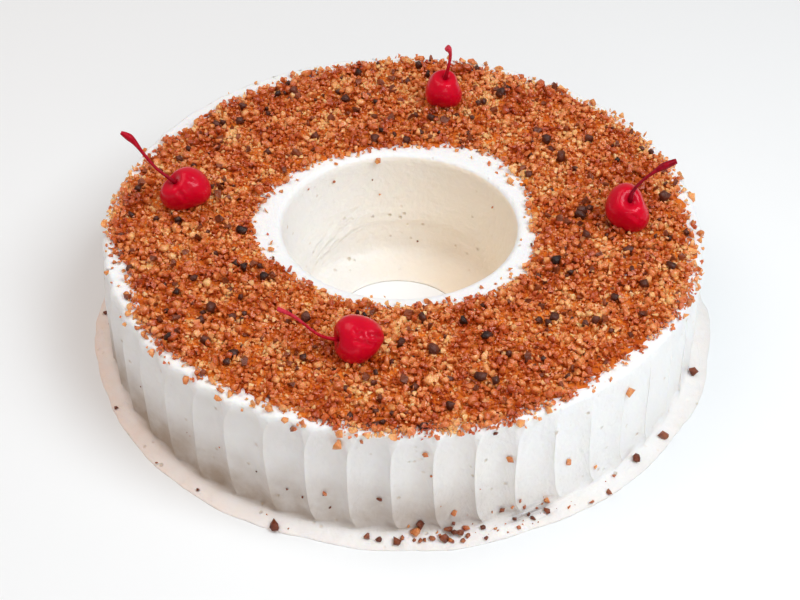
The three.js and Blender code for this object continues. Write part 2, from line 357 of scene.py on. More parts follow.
def creamMaterial(look):
    material, tree, shader, place = newMaterial("whippedCream")
    names = ("warmth", "blush", "soil", "dragged", "torn", "around", "above", "hole")
    warmth, blush, soil, dragged, torn, along, above, hole = (attributeField(tree, name) for name in names)
    cloudy = noise(place, 22.0, 3.0)
    smudges = noise(place, 90.0, 4.0, 1.0)
    # painted bounce light: the hole is tinted warm, most on its shaded right, with a little warm tone at
    # random everywhere
    warmer = clampTo(warmth + (cloudy - 0.5) * 0.4)
    colour = colourRamp(warmer, fromTo(look["pale"], look["warm"]))
    # painted shade: the foot is tinted pinkish, most on its shaded left, fading towards the front
    colour = tinted(colour, clampTo(blush * (0.4 + smudges * 1.2)), look["blush"])
    # painted shade: darker low on the outer wall at the left and front, faint up the left wall, slight on the
    # foot at the right and low in the hole
    colour = tinted(colour, clampTo(soil * (0.1 + cloudy * 0.6 + smudges * 1.1)), look["paintedShadeColour"])
    # dark streaks dragged along the foot of the wall at one bearing, also pressed in as shallow grooves
    x, y, _ = splitVector(place)
    drag = joinVector(along * look["stretch"], (x * x + y * y).calc("SQRT") - above)
    darkStreak = ease(noise(drag, 300.0, 3.0), 0.38, 0.7) * dragged
    colour = tinted(colour, darkStreak * 0.75, look["darkStreak"])
    # air bubbles, here and there, tinted tan inside as painted shade
    cells = addNode(tree, "ShaderNodeTexVoronoi", {"Vector": place, "Scale": 170.0, "Randomness": 1.0})
    bubbly = ease(noise(place, 60.0, 1.0, 3.0), 0.46, 0.62)
    pits = fade(Field(tree, cells.outputs["Distance"]), 0.03, 0.2) * bubbly
    setShader(shader, {
        "Base Color": tinted(colour, pits * 0.6, look["pitShade"]),
        "Roughness": look["roughness"],
        "Subsurface Weight": look["scatter"],
        "Subsurface Radius": look["scatterRadius"],
        "Subsurface Scale": look["scatterDepth"],
    })
    # fine streaks left by the spatula, slanted on the wall and level in the hole, grain and torn flakes
    wallSlant, tornSlant = look["slants"]
    wallPlace = joinVector(along + above * wallSlant, (above - along * wallSlant) * 0.2)
    level = addNode(tree, "ShaderNodeVectorMath", {0: place, 1: look["levelStretch"]}, operation="MULTIPLY")
    wallStreaks = noise(wallPlace, 300.0, 4.0)
    holeStreaks = noise(level.outputs[0], 330.0, 4.0)
    streaks = wallStreaks + hole * (holeStreaks - wallStreaks)
    grain = noise(place, 420.0, 4.0)
    smear = joinVector((along - above * tornSlant) * look["stretch"], above + along * tornSlant)
    flakes = ease(noise(smear, 240.0, 3.0, 0.3), 0.46, 0.56) * torn
    height = streaks * 0.3 + grain * 0.6 - pits * 0.9 - flakes * 0.45 - darkStreak * 0.5
    addBump(shader, height, look["bump"], 0.8)
    return material


cream = creamMaterial(creamLook)

# The iced ring: a turned section with spatula strokes pulled round its wall
icing = {
    "wallRadius": 130 * mm,
    "wallBase": 130.6 * mm,
    "shoulder": 2.6 * mm,
    "holeRadius": 49.8 * mm,
    "holeBase": 46 * mm,
    "holeShoulder": 3.4 * mm,
    "holeWaves": ((1, 1.6 * mm, 3.32), (2, 1.2 * mm, -0.17)),  # order, depth, phase
    "footInner": 27 * mm,
    "footEdge": 0.6 * mm,
    "footRise": 4.6 * mm,
    "strokes": 48,
    "columnsPerStroke": 18,
    "wedgeColumns": 3,  # of those, the columns of the smooth wedge between two strokes
    "strokeStart": math.radians(95.2),  # a crest stands here at mid height
}
strokeSizes = {
    "Strokes": icing["strokes"],
    "Wedge share": icing["wedgeColumns"] / icing["columnsPerStroke"],
    "Start": icing["strokeStart"],
    "Height": cakeTop,
    "Wall radius": icing["wallRadius"],
    "Depth": 1.9 * mm,
    "Crest": 0.8 * mm,
    "Burr": 0.6 * mm,
    "Gap": 0.006,
    "Notch": 0.34,
    "Bow": 1.4 * mm,
    "Lean": 1.6 * mm,
    "Sweep": 4.5 * mm,
    "Sweep height": 12.0 * mm,
    "Wander": 5.0 * mm,
    "Unevenness": 0.8 * mm,
    "Roughness": 0.3 * mm,
    "Foot spread": 7.0 * mm,
    "Hole ripple": 0.7 * mm,
    "Tear": 1.6 * mm,
    "Seed": 5,
}
holeMarks = {  # bearings in degrees
    "height": 19.0 * mm,
    "dipsFrom": 112.0,
    "dip": 0.26,  # millimetres for each degree
    "starts": (35.0, 60.0),
    "ends": (150.0, 172.0),
    "tornStarts": (106.0, 120.0),
    "tornEnds": (142.0, 158.0),
    "degree": 0.85,  # a degree's length along the wall in millimetres
    "stretch": 0.05,
}
smearBearing = -67.0  # of the dark smear at the foot


# A point of a stretch: straight, bent towards a point, or a quarter round (centre, radius, first angle)
def stretchPoint(start, end, bend, t):
    if not bend:
        return [a + (b - a) * t for a, b in zip(start, end)]
    if len(bend) == 2:
        return [(1 - t) ** 2 * a + 2 * t * (1 - t) * c + t * t * b for a, c, b in zip(start, bend, end)]
    x, y, radius, begin = bend
    turn = begin + math.pi / 2 * t
    return x + radius * math.cos(turn), y + radius * math.sin(turn)


# Rows of the section as (radius, height, flute, hold, foot): hold is how far a row follows the strokes
def icingSection(s):
    wall, base, shoulder, holeShoulder = s["wallRadius"], s["wallBase"], s["shoulder"], s["holeShoulder"]
    footInner, edge, top = s["footInner"], s["footEdge"], cakeTop
    lip = 0.6 * mm  # how far the foot's edge leans in
    corner, cornerRise = base + 0.7 * mm, 2.5 * mm  # where the foot meets the wall
    shoulderFlute = 0.45
    rim = s["holeRadius"] + holeShoulder
    flat = 16 * mm  # from each rim to the still part of the top
    filletRise, filletFoot = 9 * mm, 1.6 * mm
    shoulderRound = (wall - shoulder, top - shoulder, shoulder, 0)
    holeRound = (rim, top - holeShoulder, holeShoulder, math.pi / 2)
    still = (0, 0, 0)
    # each stretch: its start, its rows, (flute, hold, foot) at its start and its end, and its bend
    stretches = (
        ((footInner, 0), 1, still, (0, 0, 1), None),
        ((footReach, 0), 2, (0, 0, 1), (0, 0, 1), (footReach + 0.3 * mm, edge)),
        ((footReach - lip, edge), 7, (0, 0, 1), (0, 0, 0.5), (corner + 4 * mm, 2.3 * mm)),
        ((corner, cornerRise), 2, (0.2, 0.2, 0.5), (0.9, 1, 0), None),
        ((base, s["footRise"]), 18, (0.9, 1, 0), (1, 1, 0), None),
        ((wall + 0.5 * mm, 0.66 * top), 10, (1, 1, 0), (shoulderFlute, 1, 0), None),
        ((wall, top - shoulder), 6, (shoulderFlute, 1, 0), (0, 1, 0), shoulderRound),
        ((wall - shoulder, top), 2, (0, 1, 0), still, None),
        ((wall - flat, top), 1, still, still, None),
        ((rim + flat, top), 2, still, still, None),
        ((rim, top), 6, still, still, holeRound),
        ((s["holeRadius"], top - holeShoulder), 44, still, still, None),
        ((s["holeBase"], filletRise), 4, still, still, (s["holeBase"], 2.2 * mm)),
        ((s["holeBase"] - filletRise, filletFoot), 4, still, still, None),
        ((footInner + lip, edge), 1, still, still, None),
    )
    rows = []
    for (start, count, low, high, bend), (end, *_) in zip(stretches, stretches[1:] + stretches[:1]):
        for t in (step / count for step in range(count)):
            rows.append((*stretchPoint(start, end, bend, t), *(a + (b - a) * t for a, b in zip(low, high))))
    return np.array(rows)


def icingMesh(s):
    section = icingSection(s)
    columns = s["strokes"] * s["columnsPerStroke"]
    stroke = np.arange(columns) / s["columnsPerStroke"]
    angle = stroke / s["strokes"] * 2 * math.pi + s["strokeStart"]
    radius = np.tile(section[:, 0], (columns, 1))
    inHole = 1 - smoothStep(radius, s["holeRadius"] + s["holeShoulder"], s["holeRadius"] + 24 * mm)
    radius = radius + inHole * outline(0, s["holeWaves"], angle)[:, None]
    height = np.tile(section[:, 1], (columns, 1))
    points = np.stack([radius * np.cos(angle)[:, None], radius * np.sin(angle)[:, None], height], -1)
    mesh = meshFrom("icedRing", points.reshape(-1, 3), columnFaces(columns, len(section), True))
    pointAttribute(mesh, "stroke", np.repeat(stroke, len(section)))
    for index, name in enumerate(("flute", "hold", "foot"), 2):
        pointAttribute(mesh, name, np.tile(section[:, index], columns))
    pointAttribute(mesh, "hole", inHole * (height < cakeTop - 1.0 * mm))
    return mesh


# The wall in the hole: level marks of the spatula, torn where they dip at the back left
def holeRelief(given, x, y, z, bearing):
    s = holeMarks
    mark = s["height"] - (bearing - s["dipsFrom"]).calc("MAXIMUM", 0.0) * s["dip"] * mm
    offMark = z - mark
    marked = ease(bearing, *s["starts"]) * fade(bearing, *s["ends"])
    fading = marked * fade(offMark.calc("ABSOLUTE"), 1.0 * mm, 9.0 * mm)
    level = joinVector(x * s["stretch"], y * s["stretch"], z)
    lines = joinVector(x * s["stretch"], y * s["stretch"], offMark)
    arcs = (noise(level, 200.0, 2.0) - 0.5) * 0.6
    arcs = arcs + (noise(lines, 420.0, 2.0) - 0.5) * fading * 1.6
    step = marked * ease(offMark, -0.7 * mm, 0.7 * mm) * fade(offMark, 2.0 * mm, 14.0 * mm)
    alongMark = bearing * s["degree"] * mm
    smear = joinVector((alongMark - offMark * 0.4) * 0.2, offMark + alongMark * 0.4)
    tatters = noise(smear, 230.0, 3.0, 2.2) - 0.5
    tornAt = ease(bearing, *s["tornStarts"]) * fade(bearing, *s["tornEnds"])
    tornAt = tornAt * ease(offMark, -4.0 * mm, 0.5 * mm) * fade(offMark, 6.0 * mm, 15.0 * mm)
    torn = tornAt * tatters * 3.0 * given["Tear"]
    return (arcs - step * 0.8) * given["Hole ripple"] - torn, tornAt


# Painted light and shade in the cream: a warm painted bounce light in the hole, most at its right; a painted
# warm shade on the foot, most at the left; painted shade low on the outer wall at the left and the front,
# faint over the whole left wall, slight on the foot at the right and low in the hole
def creamMarks(radius, z, height, foot, hole, toRight, toBack, bearing):
    shaded = 1.0 - 0.25 * ease(toRight, -0.7, -0.1) - 0.65 * ease(toRight, 0.05, 0.5)
    shaded = shaded * (1.0 - 0.7 * ease(toBack, 0.0, 0.6))
    outside = ease(radius, 100.0 * mm, 120.0 * mm)
    # painted shade on the side away from the key light, strongest low on the wall
    lowWall = shaded * (0.2 + 0.8 * fade(z, 4.0 * mm, 36.0 * mm)) * fade(height, 0.88, 0.97)
    lowWall = lowWall * (1.0 - 0.97 * ease(foot, 0.35, 0.7))
    soil = outside * (lowWall + foot * 0.1 * ease(toRight, -0.5, 0.5))
    offSmear = (bearing - smearBearing).calc("ABSOLUTE")
    dragged = fade(offSmear, 1.5, 6.0) * fade(z, 3.0 * mm, 7.0 * mm)
    return {
        "warmth": hole * (0.55 + 0.5 * toRight),
        "blush": outside * foot * (1.0 - 0.75 * ease(toRight, -0.9, -0.2)),
        "soil": soil + hole * 0.1 * fade(z, 6.0 * mm, 30.0 * mm),
        "dragged": dragged * outside * fade(radius, 133.5 * mm, 136.5 * mm),
    }


def strokeTree(sizes):
    tree, given = newTree("spatulaStrokes", sizes, [("Material", "NodeSocketMaterial")])
    position = tree.nodes.new("GeometryNodeInputPosition").outputs[0]
    x, y, z = splitVector(position)
    flat = joinVector(x, y, z * 0.4)
    radius = (x * x + y * y).calc("SQRT")
    height = z / given["Height"]
    names = ("stroke", "flute", "hold", "foot", "hole")
    stroke, flute, hold, foot, hole = (namedField(tree, name) for name in names)
    number = stroke.calc("FLOOR")
    share = stroke - number
    across = clampTo(share / (1.0 - given["Wedge share"]))  # 0 to 1 over the stroke itself
    across = 0.5 - 0.5 * (across * math.pi).calc("COSINE")  # columns crowd at its sharp edges
    wedge = clampTo((share - 1.0 + given["Wedge share"]) / given["Wedge share"])
    drift = noise(flat, 38.0, 1.0, 1.3)
    toRight, toBack = x / radius, y / radius
    frontRight = ease(toRight, 0.15, 0.6) * fade(toBack, -0.2, 0.3)  # the strokes are lighter there
    narrowing = ease(height, 0.70, 1.0) ** 2.0 * (1.0 - 0.85 * frontRight)
    gap = given["Gap"] + given["Notch"] * narrowing * (drift * 1.6 - 0.3).calc("MAXIMUM", 0.0)
    along = gap + across * (1.0 - 2.0 * gap) + wedge * 2.0 * gap
    along = share + hold * (along - share)
    bow = given["Bow"] * (2.0 * height - 1.0) ** 2.0 + given["Lean"] * (0.5 - height)
    sweep = given["Sweep"] * clampTo(1.0 - z / given["Sweep height"]) ** 2.0
    wander = given["Wander"] * (noise(flat, 30.0, 1.0, 4.1) - 0.5)
    turn = hold * (bow + sweep + wander) / given["Wall radius"]
    angle = given["Start"] + (number + along) * (2 * math.pi) / given["Strokes"] + turn
    deepness = randomField(0.75, 1.25, given["Seed"], number)
    skewed = across ** 1.5  # deepest past the middle
    hollow = skewed * (1.0 - skewed) * 4.0
    shallow = 1.0 - frontRight * (0.5 + 0.38 * ease(height, 0.7, 0.95))
    burr = given["Burr"] * (wedge + 1.0 - ease(across, 0.0, 0.09))  # a fine lip at the start of each stroke
    scoop = (given["Crest"] + burr - (given["Crest"] + given["Depth"] * deepness) * hollow) * shallow
    # the foot spreads unevenly, the hole keeps its marks
    footWave = noise(flat, 60.0, 2.0, 9.0) - 0.5
    footSpread = given["Foot spread"] * (noise(flat, 22.0, 2.0, 7.0) - 0.62)
    outward = ease(radius, 125.0 * mm, 130.0 * mm)
    spread = foot * outward * (footWave * 2.5 * mm + footSpread)
    bearing = calcNode(tree, "ARCTAN2", y, x) * (180 / math.pi)
    relief, tornAt = holeRelief(given, x, y, z, bearing)
    reach = radius + flute * scoop + spread + hole * relief
    lumpy = noise(flat, 120.0, 2.0, 3.0) - 0.5
    lift = z + foot * clampTo(height * 90.0) * (footWave * 1.2 + lumpy * 2.4) * mm
    lift = lift.calc("MAXIMUM", z.calc("MINIMUM", 0.25 * mm))  # the foot stays above the table
    spot = joinVector(reach * angle.calc("COSINE"), reach * angle.calc("SINE"), lift)
    turned = movePoints(given["Geometry"], "Position", spot)
    # soft unevenness of hand-spread cream, everywhere but underneath
    broad = (noise(position, 45.0, 2.0, 6.0) - 0.5) * given["Unevenness"]
    bumps = broad + (noise(position, 170.0, 2.0, 8.0) - 0.5) * given["Roughness"]
    normal = tree.nodes.new("GeometryNodeInputNormal").outputs[0]
    sway = scaleVector(normal, bumps * ease(z, 0.5 * mm, 5.0 * mm))
    kept = movePoints(turned, "Offset", sway)
    marks = {
        "around": angle * radius,
        "above": z,
        **creamMarks(radius, z, height, foot, hole, toRight, toBack, bearing),
        "torn": hole * tornAt,
    }
    for name, value in marks.items():
        kept = storeField(kept, name, value, "POINT")
    return endTree(tree, kept, given["Material"])


icedRing = newPiece("icedRing", icingMesh(icing))
bakeTree(icedRing, strokeTree(strokeSizes), {**strokeSizes, "Material": cream})
finishPiece(icedRing, "icing", "iced_ring")
print("iced ring done")

# The crumble: a bumpy core inside an uneven outline, with crumbs of several kinds scattered over it
bed = {
    "inner": 57.8 * mm,
    "innerWaves": (
        (1, 0.8 * mm, math.pi), (2, 2.8 * mm, 0.21), (3, 2.8 * mm, 3.07), (4, 1.25 * mm, -2.48),
        (5, 1.1 * mm, -2.58),
    ),
    "outer": 126.6 * mm,
    "outerWaves": (
        (1, 2.2 * mm, -1.42), (2, 0.6 * mm, 2.17), (3, 0.5 * mm, -3.08), (4, 1.0 * mm, 0.09),
        (6, 1.0 * mm, -2.1), (7, 0.7 * mm, 2.86),
    ),
    "outerBays": (  # bearing, half width, depth
        (3.16, 0.14, 2.0 * mm), (3.44, 0.15, -3.5 * mm), (3.95, 0.13, -2.2 * mm), (4.21, 0.13, -2.2 * mm),
        (4.66, 0.22, 1.4 * mm), (5.93, 0.17, 1.6 * mm),
    ),
    "columns": 420,
    "rows": 46,
    "edge": 127.2 * mm,  # past this, crumbs lie on the fluted cream itself
    "pastEdge": 0.8 * mm,  # how far the core's hidden rim still goes
    "margin": 0.5 * mm,  # the core keeps this far inside the crumbs' outline
    "slope": 3.0 * mm,  # over this it rises to its full depth
    "sink": 1.4 * mm,  # its rim lies this deep in the cream
    "depth": 0.9 * mm,
    "heap": 0.5 * mm,
    "mound": 1.4 * mm,  # heaped up round the cherries
    "seed": 3,
}
# Cherries: sides are the outline's eight reaches from the right round by the top; creases run from place to
# place, (right, up) shares of the radius seen from the front above, and have a depth; stem points are offsets
# from the centre; tones are the stem's shade at its root and its end
cherryPlaces = {
    "cherry_left": {
        "at": (-95, 10.5), "rise": 9.7, "diameter": 20.6, "faces": (-0.54, -0.34, 0.77),
        "sides": (1.07, 0.99, 0.93, 0.84, 1.03, 1.12, 0.88, 0.94),
        "creases": (((-0.4, 0.2), (0.06, -0.5), 0.05), ((0.1, 0.5), (0.45, 0.3), 0.025)),
        "stem": (
            (-7.2, -2.3, 8.5), (-11.7, -0.9, 11.7), (-15.2, 1.0, 15.3), (-18.7, 3.2, 19.4),
            (-21.1, 4.7, 22.3), (-23.5, 5.7, 24.3), (-26.6, 6.2, 25.9),
        ),
        "radii": (0.75, 0.7, 0.7, 0.8, 1.3, 1.9, 0.8),
        "tones": (0.25, 0.6),
    },
    "cherry_back": {
        "at": (19.2, 87.2), "rise": 9.4, "diameter": 18.2, "faces": (0.045, -0.18, 0.98),
        "sides": (0.91, 0.9, 1.02, 0.96, 0.97, 1.04, 0.96, 1.07),
        "creases": (((0.42, 0.1), (0.6, -0.5), 0.02),),
        "stem": (
            (1.5, -1.0, 11.6), (2.3, -0.4, 15.4), (2.7, 0.1, 18.8),
            (2.5, 0.4, 20.8), (1.8, 0.5, 22.3), (1.0, 0.5, 23.2),
        ),
        "radii": (0.8, 0.7, 0.75, 0.9, 1.7, 1.5),
        "tones": (0.3, 0.85),
    },
    "cherry_right": {
        "at": (96.9, -2.1), "rise": 9.8, "diameter": 19.8, "faces": (0.04, -0.54, 0.84),
        "sides": (0.85, 0.84, 1.07, 1.01, 0.97, 0.98, 1.05, 1.16),
        "creases": (((0.02, -0.3), (0.5, -0.62), 0.05), ((0.2, -0.16), (0.62, -0.42), 0.03)),
        "stem": (
            (1.0, -2.5, 9.8), (3.4, -0.4, 12.5), (6.7, 1.3, 14.9), (10.6, 2.9, 17.2),
            (13.1, 3.8, 18.5), (15.8, 4.5, 19.6), (19.8, 5.4, 20.9),
        ),
        "radii": (0.8, 0.7, 0.7, 0.85, 1.5, 1.8, 1.2),
        "tones": (0.1, 0.25),
    },
    "cherry_front": {
        "at": (-18.3, -86.2), "rise": 9.6, "diameter": 19.6, "faces": (-0.96, -0.22, 0.17),
        "sides": (1.08, 1.03, 1.0, 1.04, 0.94, 1.0, 1.02, 0.98),
        "creases": (
            ((-0.1, 0.34), (0.36, 0.04), 0.06), ((-0.02, -0.06), (0.6, -0.2), 0.06),
            ((0.5, 0.16), (0.95, 0.1), 0.09),
        ),
        "stem": (
            (-9.9, -3.7, 3.5), (-13.5, -3.2, 4.1), (-17.4, -1.7, 5.9), (-21.3, 0.4, 8.4),
            (-25.0, 2.1, 10.5), (-27.9, 3.0, 11.6), (-31.2, 3.8, 12.6),
        ),
        "radii": (0.75, 0.65, 0.6, 0.6, 0.7, 0.9, 1.0),
        "tones": (0.45, 0.72),
    },
}


# Smooth random lumps: a sum of waves in random directions
def lumps(points, size, seed, waves=24):
    draw = np.random.default_rng(seed)
    total = np.zeros(len(points))
    for _ in range(waves):
        way = draw.normal(size=2)
        way *= 2 * math.pi / size / np.linalg.norm(way) * draw.uniform(0.6, 1.6)
        total += np.cos(points[:, :2] @ way + draw.uniform(0, 2 * math.pi))
    return total / math.sqrt(waves / 2)


# How far crumbs stray past their outline, in millimetres
def raggedness(points):
    return lumps(points, 8 * mm, 8) * 1.0 + lumps(points, 3.5 * mm, 9) * 0.9


def crumbleReach(s, angle):
    return outline(s["outer"], s["outerWaves"], angle) + bays(s["outerBays"], angle)


# The drop of a rounded shoulder, so far past its start
def shoulderDrop(past, radius):
    return radius - np.sqrt(np.maximum(radius**2 - np.maximum(past, 0) ** 2, 0))


# The core, the ground for the crumbs, and how far each point is from the outline, the edge and the cherries
def bedMesh(s):
    columns, rows, seed = s["columns"], s["rows"], s["seed"]
    angle = np.repeat(np.arange(columns) / columns * 2 * math.pi, rows)
    share = np.tile(np.linspace(0, 1, rows), columns)
    inner = outline(s["inner"], s["innerWaves"], angle)
    outer = crumbleReach(s, angle)
    radius = inner + (np.minimum(outer, s["edge"] + s["pastEdge"]) - inner) * share
    points = np.stack([radius * np.cos(angle), radius * np.sin(angle), np.zeros_like(radius)], -1)
    ragged = lumps(points, 9 * mm, seed + 5) * 1.1 * mm + lumps(points, 4 * mm, seed + 6) * 0.7 * mm
    inward = np.minimum(radius - inner, outer - radius)
    fromEdge = np.minimum(inward, s["edge"] - radius)
    body = smoothStep(fromEdge + ragged, s["margin"], s["margin"] + s["slope"])
    heap = lumps(points, 16 * mm, seed) * 0.5 + lumps(points, 6 * mm, seed + 1) * 0.5
    drop = shoulderDrop(radius - icing["wallRadius"] + icing["shoulder"], icing["shoulder"])
    dip = shoulderDrop(icing["holeRadius"] + icing["holeShoulder"] - radius, icing["holeShoulder"])
    ground = cakeTop - drop - dip
    clear = np.full(len(points), 99.0)  # millimetres to the nearest cherry, none at first
    for cherry in cherryPlaces.values():
        away = np.hypot(points[:, 0] / mm - cherry["at"][0], points[:, 1] / mm - cherry["at"][1])
        clear = np.minimum(clear, away - cherry["diameter"] / 2)
    mound = s["mound"] * bell(clear, 3.0, -2.5)
    points[:, 2] = ground - s["sink"] + body * (s["depth"] + s["sink"] + heap * s["heap"] * body + mound)
    faces = columnFaces(columns, rows, False)
    core = meshFrom("crumbleCore", points, faces)
    points[:, 2] = np.maximum(points[:, 2], ground)
    return core, meshFrom("crumbGround", points, faces), points, inward / mm, (s["edge"] - radius) / mm, clear


crumbSizes = {
    "shapes": 7,  # of each kind
    "reach": (0.34, 0.5),
    "widest": 1.15,
    "stretch": 0.35,
    "faceted": 12,  # crumbs with more corners than this look rounded
}


def meshOf(form, name):
    mesh = bpy.data.meshes.new(name)
    form.to_mesh(mesh)
    form.free()
    return mesh


# A crumb: the hull of a few random points, about one unit across
def crumbForm(draw, corners, rounded, stretch=crumbSizes["stretch"]):
    widest = crumbSizes["widest"]
    points = draw.normal(size=(corners, 3))
    points /= np.linalg.norm(points, axis=1)[:, None]
    reach = draw.uniform(*crumbSizes["reach"], (corners, 1))
    points *= reach * draw.uniform(widest - stretch, widest, (1, 3))
    form = bmesh.new()
    for point in points:
        form.verts.new(point)
    bmesh.ops.convex_hull(form, input=form.verts)
    loose = [v for v in form.verts if not v.link_faces]
    bmesh.ops.delete(form, geom=loose, context="VERTS")
    bmesh.ops.recalc_face_normals(form, faces=form.faces)
    for face in form.faces:
        face.smooth = rounded
    return form


def crumbShapes(name, kind):
    draw = np.random.default_rng(kind["seed"])
    shelf = bpy.data.collections.new(name)
    rounded = kind["corners"] > crumbSizes["faceted"]
    for index in range(crumbSizes["shapes"]):
        form = crumbForm(draw, kind["corners"], rounded, kind.get("stretch", crumbSizes["stretch"]))
        mesh = meshOf(form, "%s%02d" % (name, index))
        shelf.objects.link(bpy.data.objects.new(mesh.name, mesh))
    return shelf


def kindSizes(kind):
    return {
        "Spacing": kind["spacing"] * mm,
        "Density": 2.0e6 / kind["spacing"] ** 2,  # more than the spacing lets through
        "Smallest": kind["sizes"][0] * mm,
        "Largest": kind["sizes"][1] * mm,
        "Lift": kind["lift"],
        "Lift spread": kind["spread"],
        "Seed": kind["seed"],
    }


# Scatters shapes over a surface: Poisson spacing, random turn and size, a tint for each crumb
def scatterTree(sizes):
    things = [("Shapes", "NodeSocketCollection"), ("Material", "NodeSocketMaterial")]
    tree, given = newTree("crumbScatter", sizes, things)
    seed = given["Seed"]
    surface = {
        "Mesh": given["Geometry"],
        "Distance Min": given["Spacing"],
        "Density Max": given["Density"],
        "Density Factor": namedField(tree, "cover"),
        "Seed": seed,
    }
    spread = addNode(tree, "GeometryNodeDistributePointsOnFaces", surface, distribute_method="POISSON")
    sizeDraw = randomField(0.0, 1.0, seed + 11.0) ** 1.6  # more small ones than large
    size = given["Smallest"] + (given["Largest"] - given["Smallest"]) * sizeDraw
    rise = size * (given["Lift"] + given["Lift spread"] * randomField(-1.0, 1.0, seed + 17.0))
    push = scaleVector(spread.outputs["Normal"], rise)
    shelf = {"Collection": given["Shapes"], "Separate Children": True, "Reset Children": True}
    crumbs = {
        "Points": movePoints(spread.outputs["Points"], "Offset", push),
        "Instance": addNode(tree, "GeometryNodeCollectionInfo", shelf).outputs[0],
        "Pick Instance": True,
        "Instance Index": randomField(0, 99, seed + 29.0, kind="INT"),
        "Rotation": randomField((0.0,) * 3, (6.283,) * 3, seed + 23.0, kind="FLOAT_VECTOR"),
        "Scale": size,
    }
    instances = addNode(tree, "GeometryNodeInstanceOnPoints", crumbs).outputs[0]
    # the lighter share is painted light: crumbs near the edges and on the cream are lighter, as if lit
    # through from the white cream
    tint = randomField(0.0, 1.0, seed + 31.0) + namedField(tree, "lighter")
    return endTree(tree, storeField(instances, "tint", tint, "INSTANCE"), given["Material"])


def pralineMaterial(name, stops, roughness, scatter, sparkle):
    material, tree, shader, place = newMaterial(name)
    mottled = noise(place, 700.0, 2.0)
    patches = noise(place, 75.0, 2.0, 5.0) + noise(place, 170.0, 1.0, 2.0) * 0.7
    shade = attributeField(tree, "tint") * 0.4 + (mottled - 0.5) * 0.6 + (patches - 0.85) * 1.9 + 0.31
    setShader(shader, {
        "Base Color": colourRamp(clampTo(shade), stops),
        "Roughness": roughness,
        "Subsurface Weight": scatter,
        "Subsurface Radius": (1.0, 0.45, 0.2),
        "Subsurface Scale": 1.0 * mm,
        "Specular IOR Level": sparkle,
    })
    addBump(shader, noise(place, 900.0, 3.0), 0.7 * mm)
    return material


amberStops = [(0.0, (178, 65, 9)), (0.3, (208, 95, 29)), (0.65, (231, 134, 66)), (1.0, (250, 187, 118))]
pralineLooks = {
    "core": pralineMaterial("crumbleCoreBrown", fromTo((180, 66, 8), (238, 130, 44)), 0.6, 0.0, 0.1),
    "amber": pralineMaterial("pralineAmber", amberStops, 0.28, 0.5, 0.9),
    "gold": pralineMaterial("pralineGold", fromTo((188, 92, 42), (244, 172, 104)), 0.3, 0.6, 0.5),
    "toffee": pralineMaterial("pralineToffee", fromTo((128, 58, 28), (206, 122, 74)), 0.3, 0.4, 0.6),
    "brown": pralineMaterial("pralineBrown", fromTo((88, 33, 9), (152, 70, 30)), 0.35, 0.0, 0.5),
    "dark": pralineMaterial("pralineBurnt", fromTo((38, 15, 10), (112, 54, 36)), 0.34, 0.0, 0.4),
    "pale": pralineMaterial("pralinePale", fromTo((233, 151, 87), (251, 206, 150)), 0.4, 0.4, 0.5),
}

coreMesh, ground, groundPoints, inward, toEdge, clear = bedMesh(bed)
core = newPiece("crumbleCore", coreMesh)
raggedInward = inward + raggedness(groundPoints)
clumped = lumps(groundPoints, 14 * mm, 21)
clusters = lumps(groundPoints, 11 * mm, 33) * 0.6 + lumps(groundPoints, 5 * mm, 34) * 0.8

# How thickly each kind lies: over the bed, thinned at its ragged edge, clear of the cherries
edgeCover = 0.35 * smoothStep(raggedInward, -1.5, 1.0) + 0.65 * smoothStep(raggedInward, 0.5, 4.0)
fullCover = edgeCover * smoothStep(clear, -6.5, -4.5) * (toEdge > 0)
kinds = {
    "crumbsFine": dict(
        corners=8, spacing=1.24, sizes=(1.5, 2.8), lift=0.25, spread=0.2,
        cover=fullCover, look="amber", seed=1,
    ),
    "crumbsMedium": dict(
        corners=12, spacing=2.0, sizes=(2.2, 4.6), lift=0.4, spread=0.2,
        cover=fullCover * (0.35 + 0.65 * smoothStep(clumped, -1.6, 0.2)), look="amber", seed=2,
    ),
    "crumbsCoarse": dict(
        corners=16, spacing=3.8, sizes=(3.2, 5.6), lift=0.42, spread=0.12,
        cover=fullCover * smoothStep(inward, 1, 5) * smoothStep(clumped, -1.8, 0.8),
        look="amber", seed=5,
    ),
    "crumbsBrown": dict(
        corners=11, spacing=3.2, sizes=(2.2, 5.4), lift=0.5, spread=0.15,
        cover=fullCover * smoothStep(-clusters, 0.5, 1.6), look="brown", seed=8,
    ),
    "crumbsBurnt": dict(
        corners=15, spacing=2.7, sizes=(2.6, 7.0), lift=0.42, spread=0.1, stretch=0.5,
        cover=fullCover * smoothStep(inward, 2, 5) * smoothStep(clusters, 1.2, 1.8),
        look="dark", seed=3,
    ),
    "crumbsPale": dict(
        corners=9, spacing=2.4, sizes=(1.4, 3.4), lift=0.5, spread=0.2,
        cover=fullCover * smoothStep(-clumped, 0.2, 1.7), look="pale", seed=4,
    ),
}
scatter = scatterTree(kindSizes(kinds["crumbsFine"]))


def scatterPiece(name, kind, mesh, lighter):
    piece = newPiece(name, mesh)
    pointAttribute(piece.data, "cover", np.clip(kind["cover"], 0, 1))
    pointAttribute(piece.data, "lighter", lighter)
    shapes = crumbShapes(name + "Shape", kind)
    things = {"Shapes": shapes, "Material": pralineLooks[kind["look"]]}
    bakeTree(piece, scatter, {**kindSizes(kind), **things})
    for shape in list(shapes.objects):
        bpy.data.objects.remove(shape)
    bpy.data.collections.remove(shapes)
    finishPiece(piece, "crumble")


